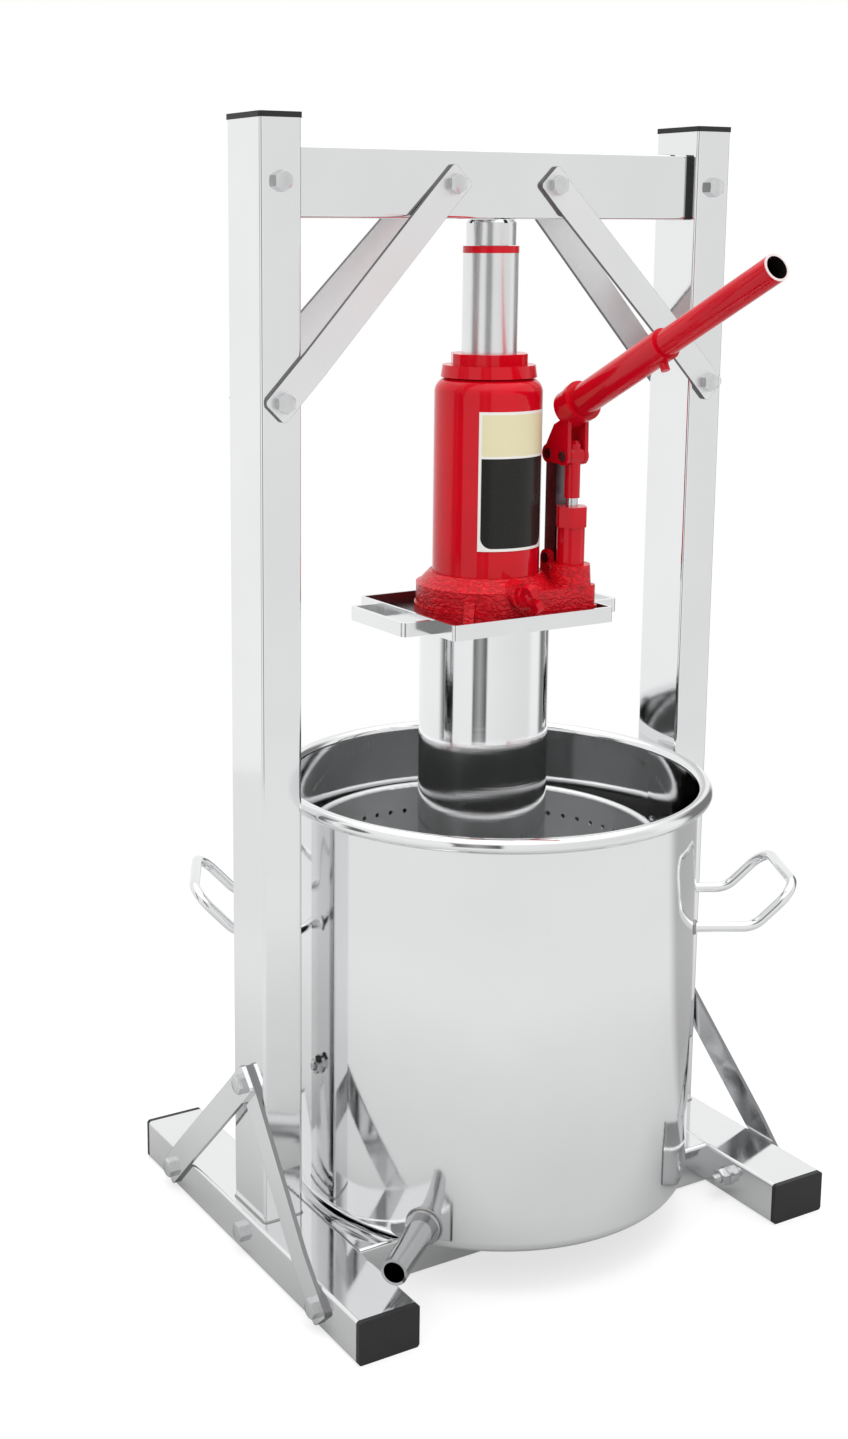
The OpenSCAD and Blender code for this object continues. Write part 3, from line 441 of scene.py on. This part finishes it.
# %% Bare label film
RESERVOIR, LABEL_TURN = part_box("reservoir")[1].x, math.radians(44.0)
LABEL_LOW, LABEL_HIGH = (corner.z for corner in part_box("jack_label"))
MARGIN, FIELD_GAP = 0.0016, 0.0013
CREAM_CORNER, BLACK_CORNER = 0.0012, 0.0065
INK_HALF = RESERVOIR * LABEL_TURN - MARGIN
INK_LOW, INK_HIGH, INK_SPLIT = LABEL_LOW + MARGIN, LABEL_HIGH - MARGIN, 0.4627
b = finish("label_film")
point = b.place()
x, y, z = b.axes(point)
along = x.turn_from(y * -1.0) * RESERVOIR


def field(low, high, half, corner):
    """1 inside a box of that half width between two heights with round corners, else 0."""
    middle, reach = (low + high) / 2, (high - low) / 2
    side = (along.size() - (half - corner)).at_least(0.0)
    rise = ((z - middle).size() - (reach - corner)).at_least(0.0)
    apart = (side * side + rise * rise).root()
    return 1.0 - (apart - corner).step(-SKIN, SKIN)


FILM, INK, CREAM = rgb(0.82, 0.81, 0.78), rgb(0.012, 0.012, 0.011), rgb(0.74, 0.69, 0.45)
DUST = rgb(0.45, 0.44, 0.40)
black = field(INK_LOW, INK_SPLIT + BLACK_CORNER, INK_HALF, BLACK_CORNER)
cream = field(INK_SPLIT, INK_HIGH, INK_HALF, CREAM_CORNER)
speckle = b.noise(point, 900.0, 2.0, 0.5)
tint = b.mix(black, FILM, INK)
tint = b.mix(z > INK_SPLIT - FIELD_GAP, tint, FILM)
tint = b.mix(cream, tint, CREAM)
coat(b, Base_Color=b.mix(speckle * 0.02, tint, DUST), Roughness=speckle * 0.10 + 0.20,
     Specular_IOR_Level=0.2, Normal=b.bump(speckle, 0.00002))
print("label from height", round(LABEL_LOW, 4), "to", round(LABEL_HIGH, 4))

# %% [markdown]
# Every solid gets one of these finishes and, apart from the bolts, keeps its shape. The belt lines of a tube
# run along it, so posts, beam and rails take different ones.

# %% Finish the solids
WEAR = {
    "steel_upright": ["left_post", "right_post"],
    "steel_beam": ["top_beam", "cross_box"],
    "steel_rail": ["left_rail", "right_rail"],
    "steel_turned": ["bucket_shell", "press_tube", "press_plate"],
    "steel_rolled_painted_light": ["basket"],
    "steel_brace": ["top_brace_front_left", "top_brace_front_right", "top_brace_rear_left",
                    "top_brace_rear_right"],
    "steel_stay": ["base_brace_left_front", "base_brace_left_rear", "base_brace_right_front",
                   "base_brace_right_rear"],
    "steel_tray": ["tray"],
    "steel_flat": ["tray_handle_left", "tray_handle_right"],
    "steel_drawn": ["bucket_handle_right", "bucket_handle_left"],
    "steel_spout_painted_shade": ["spout"],
    "plug_plastic": ["rail_caps", "post_caps", "beam_plugs"],
    "zinc_plate": ["long_bolts", "short_bolts", "bolt_nuts", "bolt_washers", "inner_cylinder"],
    "black_oxide": ["pump_link", "link_pins", "plunger_pin"],
    "enamel_jack": ["reservoir", "top_nut", "pump_cylinder", "release_valve", "ram_ring"],
    "enamel_plunger": ["pump_plunger"],
    "enamel_lever": ["handle_socket", "lever_lower", "lever_screw", "lever_upper"],
    "enamel_cast": ["jack_base"],
    "ram_chrome": ["ram", "extension_screw"],
    "seal_rubber": ["ram_seal"],
    "label_film": ["jack_label"],
}
for name, wearers in WEAR.items():
    for wearer in wearers:
        node[wearer].data.materials.clear()
        node[wearer].data.materials.append(FINISH[name])
bare = sorted(set(node) - {w for wearers in WEAR.values() for w in wearers})
print("solids finished:", sum(len(w) for w in WEAR.values()), "left bare:", bare)

# %% [markdown]
# New pieces are surfaces on a grid: rows of points, where the last column joins the first and, in a ring,
# the last row does too. One helper numbers the quads of such a grid, and one puts several grids into a mesh,
# closes its poles and seams, and rides it on a body.

# %% Grids into meshes
MERGE = 1e-7


def quads(rows, cols, loop=False):
    """Corner numbers of a grid whose columns close on themselves, and whose rows do too for a loop."""
    row = np.arange(rows if loop else rows - 1)[:, None]
    col = np.arange(cols)[None, :]
    here, there = row * cols, ((row + 1) % rows) * cols
    side = (col + 1) % cols
    return np.stack([here + col, here + side, there + side, there + col], axis=-1).reshape(-1, 4)


def piece(name, grids, finish_name, body, angle=32.0):
    """One mesh from grids of (rows, cols, 3) points, each with its quads; it rides on a body."""
    points, corners, count = [], [], 0
    for grid, faces in grids:
        flat = grid.reshape(-1, 3)
        points.append(flat)
        corners.append(faces + count)
        count += len(flat)
    mesh = bpy.data.meshes.new(name)
    mesh.from_pydata(np.concatenate(points).tolist(), [], np.concatenate(corners).tolist())
    work = bmesh.new()
    work.from_mesh(mesh)
    bmesh.ops.remove_doubles(work, verts=work.verts, dist=MERGE)
    bmesh.ops.dissolve_degenerate(work, edges=work.edges, dist=MERGE)
    bmesh.ops.recalc_face_normals(work, faces=work.faces)
    work.to_mesh(mesh)
    work.free()
    mesh.polygons.foreach_set("use_smooth", np.ones(len(mesh.polygons), bool))
    mesh.set_sharp_from_angle(angle=math.radians(angle))
    mesh.materials.append(FINISH[finish_name])
    made = bpy.data.objects.new(name, mesh)
    bpy.context.scene.collection.objects.link(made)
    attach(made, body)
    print(name, "has", len(mesh.polygons), "faces and rides on", body)
    return made


# %% [markdown]
# The frame is held by M6 hexagon bolts. A plain bolt solid is enough for the mechanics, but up close the eye
# wants the turned chamfer on the head and a real thread behind the nut. The head is a polar surface whose
# radius is the hexagon's, and the chamfer is a cone that cuts its corners lower than its flats. The thread's
# radius follows a triangle wave of height minus turn, which is what a helix is.

# %% Threaded bolts
BOLT_R, HEAD_H, FLATS, LEAD = 0.0030, 0.0040, 0.0100, 0.0010
THREAD_LEN, THREAD_DEPTH, TIP = 0.016, 0.0005, 0.0006
CHAMFER, FACE_SHARE = math.radians(28.0), 0.95
BOLT_SIDES, ROWS_A_TURN = 48, 8


def bolt_surface(length):
    """Rows of a bolt along +Z from its head's top to its tip; the thread covers the last part."""
    turn = np.linspace(0.0, 2 * np.pi, BOLT_SIDES, endpoint=False)
    hexagon = FLATS / 2 / np.cos((turn + np.pi / 6) % (np.pi / 3) - np.pi / 6)
    cone = FLATS / 2 * FACE_SHARE
    drop = np.maximum(hexagon - cone, 0.0) * math.tan(CHAMFER)
    even = np.ones_like(turn)
    rows_r = [0 * even, cone * even, hexagon, hexagon, BOLT_R * even, BOLT_R * even]
    start = length - THREAD_LEN
    rows_z = [-HEAD_H * even, -HEAD_H * even, -HEAD_H + drop, 0 * even, 0 * even, start * even]
    height = np.arange(start, length - TIP, LEAD / ROWS_A_TURN)
    phase = (height[:, None] / LEAD - turn[None, :] / (2 * np.pi)) % 1.0
    run_in = np.clip((height - start) / (2 * LEAD), 0.0, 1.0)[:, None]
    thread = BOLT_R - THREAD_DEPTH * run_in * (1.0 - np.abs(2.0 * phase - 1.0))
    r = np.concatenate([np.array(rows_r), thread, [(BOLT_R - TIP) * even, 0 * even]])
    z = np.concatenate([np.array(rows_z), height[:, None] * even, [length * even, length * even]])
    return np.stack([r * np.cos(turn), r * np.sin(turn), z], axis=-1)


def set_bolts(name, solid, length, spots):
    """Bolts of one length, each with the middle of its head's underside and its way.

    The way is "back" for a bolt that runs backwards, or else the sign of the side that its head is on.
    """
    shape = bolt_surface(length)
    faces = quads(*shape.shape[:2])
    grids = []
    for spot, way in spots:
        x, y, z = shape[..., 0], shape[..., 1], shape[..., 2]
        turned = np.stack([x, z, -y], -1) if way == "back" else np.stack([-z * way, y, x * way], -1)
        grids.append((turned + np.array(spot), faces))
    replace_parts(piece(name, grids, "zinc_plate", "frame"), solid)


LONG, SHORT, BAR = 0.0516, 0.0386, 0.0025
spots = [((s * POST_X, -POST_FRONT, BEAM_Z), "back") for s in (-1, 1)]
spots += [((s * POST_X, -POST_FRONT - BAR, BRACE_Z), "back") for s in (-1, 1)]
spots += [((s * (RAIL_FACE + BAR), y, RAIL_Z), s) for s in (-1, 1) for y in (-STAY_Y, STAY_Y)]
spots += [((s * RAIL_FACE, 0.0, RAIL_Z), s) for s in (-1, 1)]
set_bolts("long_bolts_threaded", "long_bolts", LONG, spots)
spots = [((s * BRACE_X, -BEAM_FRONT - BAR, BEAM_Z), "back") for s in (-1, 1)]
spots += [((s * (POST_FACE + 2 * BAR), 0.0, STAY_Z), s) for s in (-1, 1)]
set_bolts("short_bolts_threaded", "short_bolts", SHORT, spots)

# %% [markdown]
# Stainless parts are joined by TIG welding, which leaves a narrow rippled bead. A bead is a circle
# carried along a closed path, and its radius swells with each dab of the rod. Beads run round the foot of
# each post, each handle wire, the spout's collar, and both ends of the press tube.

# %% Weld beads
RIPPLE, BEAD_SIDES, BEAD_ANGLE = 0.16, 10, 60.0
FOOT_BEAD, FOOT_CORNER, FOOT_POINTS, FOOT_DABS = 0.0008, 0.002, 240, 60
CORNER_STEPS = 64


def bead(path, outward, upward, radius, dabs):
    """A ring of circles in the plane of outward and upward at each path point, swelling with each dab."""
    share = np.linspace(0.0, 1.0, len(path), endpoint=False)
    swell = radius * (1.0 + RIPPLE * np.abs(np.sin(np.pi * dabs * share)))
    turn = np.linspace(0.0, 2 * np.pi, BEAD_SIDES, endpoint=False)
    ring = np.cos(turn)[:, None] * outward[:, None, :] + np.sin(turn)[:, None] * upward[:, None, :]
    grid = path[:, None, :] + swell[:, None, None] * ring
    return grid, quads(len(path), len(turn), loop=True)


def box_path(width, depth, corner, count):
    """Points evenly spaced round a rectangle with round corners, and their outward directions."""
    turn = np.linspace(0.0, 2 * np.pi, CORNER_STEPS, endpoint=False) + np.pi / CORNER_STEPS
    way = np.stack([np.cos(turn), np.sin(turn)], -1)
    rough = np.sign(way) * (np.array([width, depth]) / 2 - corner) + corner * way
    rough, way = np.concatenate([rough, rough[:1]]), np.concatenate([way, way[:1]])
    gone = np.concatenate([[0.0], np.cumsum(np.linalg.norm(np.diff(rough, axis=0), axis=1))])
    at = np.linspace(0.0, gone[-1], count, endpoint=False)
    spot = np.stack([np.interp(at, gone, rough[:, i]) for i in (0, 1)], -1)
    out = np.stack([np.interp(at, gone, way[:, i]) for i in (0, 1)], -1)
    return spot, out / np.linalg.norm(out, axis=1, keepdims=True)


def up(count):
    """The upward direction, once for each of that many points."""
    return np.tile(np.array([0.0, 0.0, 1.0]), (count, 1))


feet = []
spot, out = box_path(POST_WIDE, POST_DEEP, FOOT_CORNER, FOOT_POINTS)
for side in (-1, 1):
    path = np.stack([spot[:, 0] + side * POST_X, spot[:, 1], np.full(FOOT_POINTS, POST_FOOT)], -1)
    feet.append(bead(path, np.pad(out, ((0, 0), (0, 1))), up(FOOT_POINTS), FOOT_BEAD, FOOT_DABS))
piece("post_foot_welds", feet, "steel_weld", "frame", BEAD_ANGLE)

# %% Weld beads on the bucket and the press tube
BUCKET_R, BUCKET_Y, BUCKET_Z = 0.1225, -0.010, 0.0253
RIGHT_HANDLE, LEFT_HANDLE, SPOUT = -28.01, 151.99, -141.0
WIRE_HALF, WIRE_HEIGHT, SPOUT_HEIGHT = 0.034, 0.159, 0.014
WIRE_RING, WIRE_BEAD, WIRE_DABS = 0.0032, 0.0012, 9
COLLAR_RING, COLLAR_BEAD, COLLAR_DABS = 0.0102, 0.0007, 26
TUBE_BEAD, TUBE_POINTS, TUBE_DABS, TUBE_INSET = 0.0012, 320, 90, 0.0003
low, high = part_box("press_tube")
TUBE_R, TUBE_ENDS = high.x, (high.z - TUBE_INSET, low.z + TUBE_INSET)
WALL_POINTS, PROBE = 72, 0.001


def on_wall(angle, across, height):
    """Points of the bucket's wall: across is the distance to the side of the line at that angle."""
    ahead = np.sqrt(BUCKET_R**2 - across**2)
    c, s = math.cos(math.radians(angle)), math.sin(math.radians(angle))
    return np.stack([ahead * c - across * s, ahead * s + across * c + BUCKET_Y, height + BUCKET_Z], -1)


def wall_bead(angle, offset, height, ring, radius, dabs):
    """A bead round a wire or pipe of that ring radius where it meets the bucket's wall."""
    turn = np.linspace(0.0, 2 * np.pi, WALL_POINTS, endpoint=False)
    path = on_wall(angle, offset + ring * np.cos(turn), height + ring * np.sin(turn))
    more = ring + PROBE
    wide = on_wall(angle, offset + more * np.cos(turn), height + more * np.sin(turn)) - path
    outward = wide / np.linalg.norm(wide, axis=1, keepdims=True)
    away = path * np.array([1.0, 1.0, 0.0]) - np.array([0.0, BUCKET_Y, 0.0])
    away = away / np.linalg.norm(away, axis=1, keepdims=True)
    return bead(path, outward, away, radius, dabs)


wires = []
for angle in (RIGHT_HANDLE, LEFT_HANDLE):
    for across in (-WIRE_HALF, WIRE_HALF):
        wires.append(wall_bead(angle, across, WIRE_HEIGHT, WIRE_RING, WIRE_BEAD, WIRE_DABS))
wires.append(wall_bead(SPOUT, 0.0, SPOUT_HEIGHT, COLLAR_RING, COLLAR_BEAD, COLLAR_DABS))
piece("bucket_welds", wires, "steel_weld", "bucket", BEAD_ANGLE)

turn = np.linspace(0.0, 2 * np.pi, TUBE_POINTS, endpoint=False)
out = np.stack([np.cos(turn), np.sin(turn), 0 * turn], -1)
ends = [out * TUBE_R + np.array([0.0, 0.0, height]) for height in TUBE_ENDS]
rings = [bead(path, out, up(TUBE_POINTS), TUBE_BEAD, TUBE_DABS) for path in ends]
piece("press_tube_welds", rings, "steel_weld", "press", BEAD_ANGLE)

# %% [markdown]
# A plain pale floor carries the press. A flat grey floor would end in a horizon line behind the beam, so it
# is a white disc that turns into the even white of the surroundings a short way off, and only its middle
# takes the soft shadow. It ends soon, so that the tube and the ram mirror the studio and not just paper. In
# mirrored light its glow is painted darker near the press and most of all right under it, as painted shade,
# and behind it on the right it has a painted dark patch, from where the bucket's edge takes its dark band.

# %% Floor
FLOOR_SIDES, FLOOR_DROP = 96, 0.0002
turn = np.linspace(0.0, 2 * np.pi, FLOOR_SIDES, endpoint=False)
reach = np.array([0.0, 0.3, 0.5, 0.8, 1.08])[:, None]
disc = np.stack([reach * np.cos(turn), reach * np.sin(turn), 0 * reach + 0 * turn - FLOOR_DROP], -1)
ground = bpy.data.meshes.new("floor")
ground.from_pydata(disc.reshape(-1, 3).tolist(), [], quads(len(reach), FLOOR_SIDES).tolist())
floor = bpy.data.objects.new("floor", ground)
bpy.context.scene.collection.objects.link(floor)
print("floor disc", reach.max(), "m")

# %% Floor paper
b = finish("floor_paper")
point = b.place()
x, y, z = b.axes(point)
away = (x * x + y * y).root()
grain = b.noise(point, 400.0, 2.0, 0.5)
fade = away.step(0.10, 0.70) * 0.35 + 0.65
paper_tint = b.mix(grain, rgb(0.93, 0.93, 0.93), rgb(0.96, 0.96, 0.96))
paper = b.add("ShaderNodeBsdfDiffuse", None, {"Color": paper_tint})
across = (x * math.cos(YAW) - y * math.sin(YAW)) / away
beyond = (x * math.sin(YAW) + y * math.cos(YAW)) / away
flank_shade = across.step(0.45, 0.65) * beyond.step(0.15, 0.35)
mirrored = b.add("ShaderNodeLightPath", output="Is Glossy Ray")
side = (x.size() - RAIL_FACE).at_least(0.0)
front = (y.size() - RAIL_HALF).at_least(0.0)
beside = (side * side + front * front).root()
# painted shade in mirrored light: darker round and under the press, and a dark patch behind on the right
dull = 0.80 - away.step(0.15, 0.60) * 0.50 - beside.step(0.0, 0.08) * 0.18 + flank_shade * 0.40
level = 1.0 - mirrored * dull.up_to(0.85)
white = b.add("ShaderNodeEmission", None, {"Color": level})
b.close("ShaderNodeOutputMaterial", b.add("ShaderNodeMixShader", None, {0: fade, 1: paper, 2: white}))
ground.materials.append(FINISH["floor_paper"])
print("paper laid, finishes in all", len(FINISH))

# %% [markdown]
# Polished metal only shows what is round it, so the surroundings are a studio: white paper behind the
# press with a dark end on its right, a bright ceiling, and behind the camera tall white panels with darker
# gaps between them, which draw the soft upright bands on tubes and bucket. The panels are a ramp over how
# far left or right a direction points. The camera itself, and clear pieces, see plain white. Two soft lamps
# add to the light on painted pieces. Their mirror images would burn white squares into the steel, so metal
# doesn't see them.

# %% Studio surroundings and lamps
world = bpy.data.worlds.new("studio")
bpy.context.scene.world = world
world.use_nodes = True
b = Bench(world.node_tree)
way = b.add("ShaderNodeTexCoord", output="Generated")


def towards(direction):
    """How far a direction of view points along another, from -1 to 1."""
    return b.vector("DOT_PRODUCT", way, direction, "Value")


right = towards((math.cos(YAW), -math.sin(YAW), 0.0))
ahead = towards((math.sin(YAW), math.cos(YAW), 0.0))
above = towards((0.0, 0.0, 1.0))
stops = [(0.0, 0.96), (0.003, 0.96), (0.006, 0.16), (0.032, 0.14), (0.040, 0.96), (0.29, 0.98), (0.31, 0.16),
         (0.40, 0.42), (0.49, 0.10), (0.515, 0.94), (0.80, 0.88), (0.97, 0.85)]
panels = b.add("ShaderNodeValToRGB", {"stops": stops}, {0: right * 0.5 + 0.5})
WHITE, CEILING, DARK_END, BELOW = (rgb(grey, grey, grey) for grey in (1.0, 1.5, 0.22, 0.62))
studio = b.mix(ahead.step(-0.20, 0.05), panels, WHITE)
studio = b.mix(right.step(0.40, 0.55) * ahead.step(0.25, 0.45), studio, DARK_END)
studio = b.mix(above.step(0.40, 0.65), studio, WHITE)
studio = b.mix(above.step(0.62, 0.80), studio, CEILING)
studio = b.mix(above.step(-0.75, -0.45), BELOW, studio)
ray = b.add("ShaderNodeLightPath", output="Is Camera Ray")
clear = Value(b, ray.socket.node.outputs["Is Transmission Ray"])
glow = b.add("ShaderNodeBackground", None, {"Color": studio, "Strength": 0.99})
plain = b.add("ShaderNodeBackground", None, {"Color": WHITE})
sky = b.add("ShaderNodeMixShader", None, {0: ray.at_least(clear), 1: glow, 2: plain})
b.close("ShaderNodeOutputWorld", sky)


def soft_lamp(name, place, aim, size, power):
    """A square soft lamp at place that looks at aim."""
    data = bpy.data.lights.new(name, "AREA")
    data.shape, data.size, data.energy = "SQUARE", size, power
    lamp = bpy.data.objects.new(name, data)
    step = np.array(place) - np.array(aim)
    flat = math.hypot(step[0], step[1])
    lamp.location = place
    lamp.rotation_euler = (math.atan2(flat, step[2]), 0.0, math.atan2(step[0], -step[1]))
    lamp.visible_glossy = False
    bpy.context.scene.collection.objects.link(lamp)


soft_lamp("key_panel", (-1.3, -1.2, 1.7), aim=(0.0, 0.0, 0.35), size=1.5, power=6.0)
soft_lamp("top_panel", (0.0, -0.2, 2.0), aim=(0.0, 0.0, 0.30), size=1.2, power=14.0)
print("studio lit")
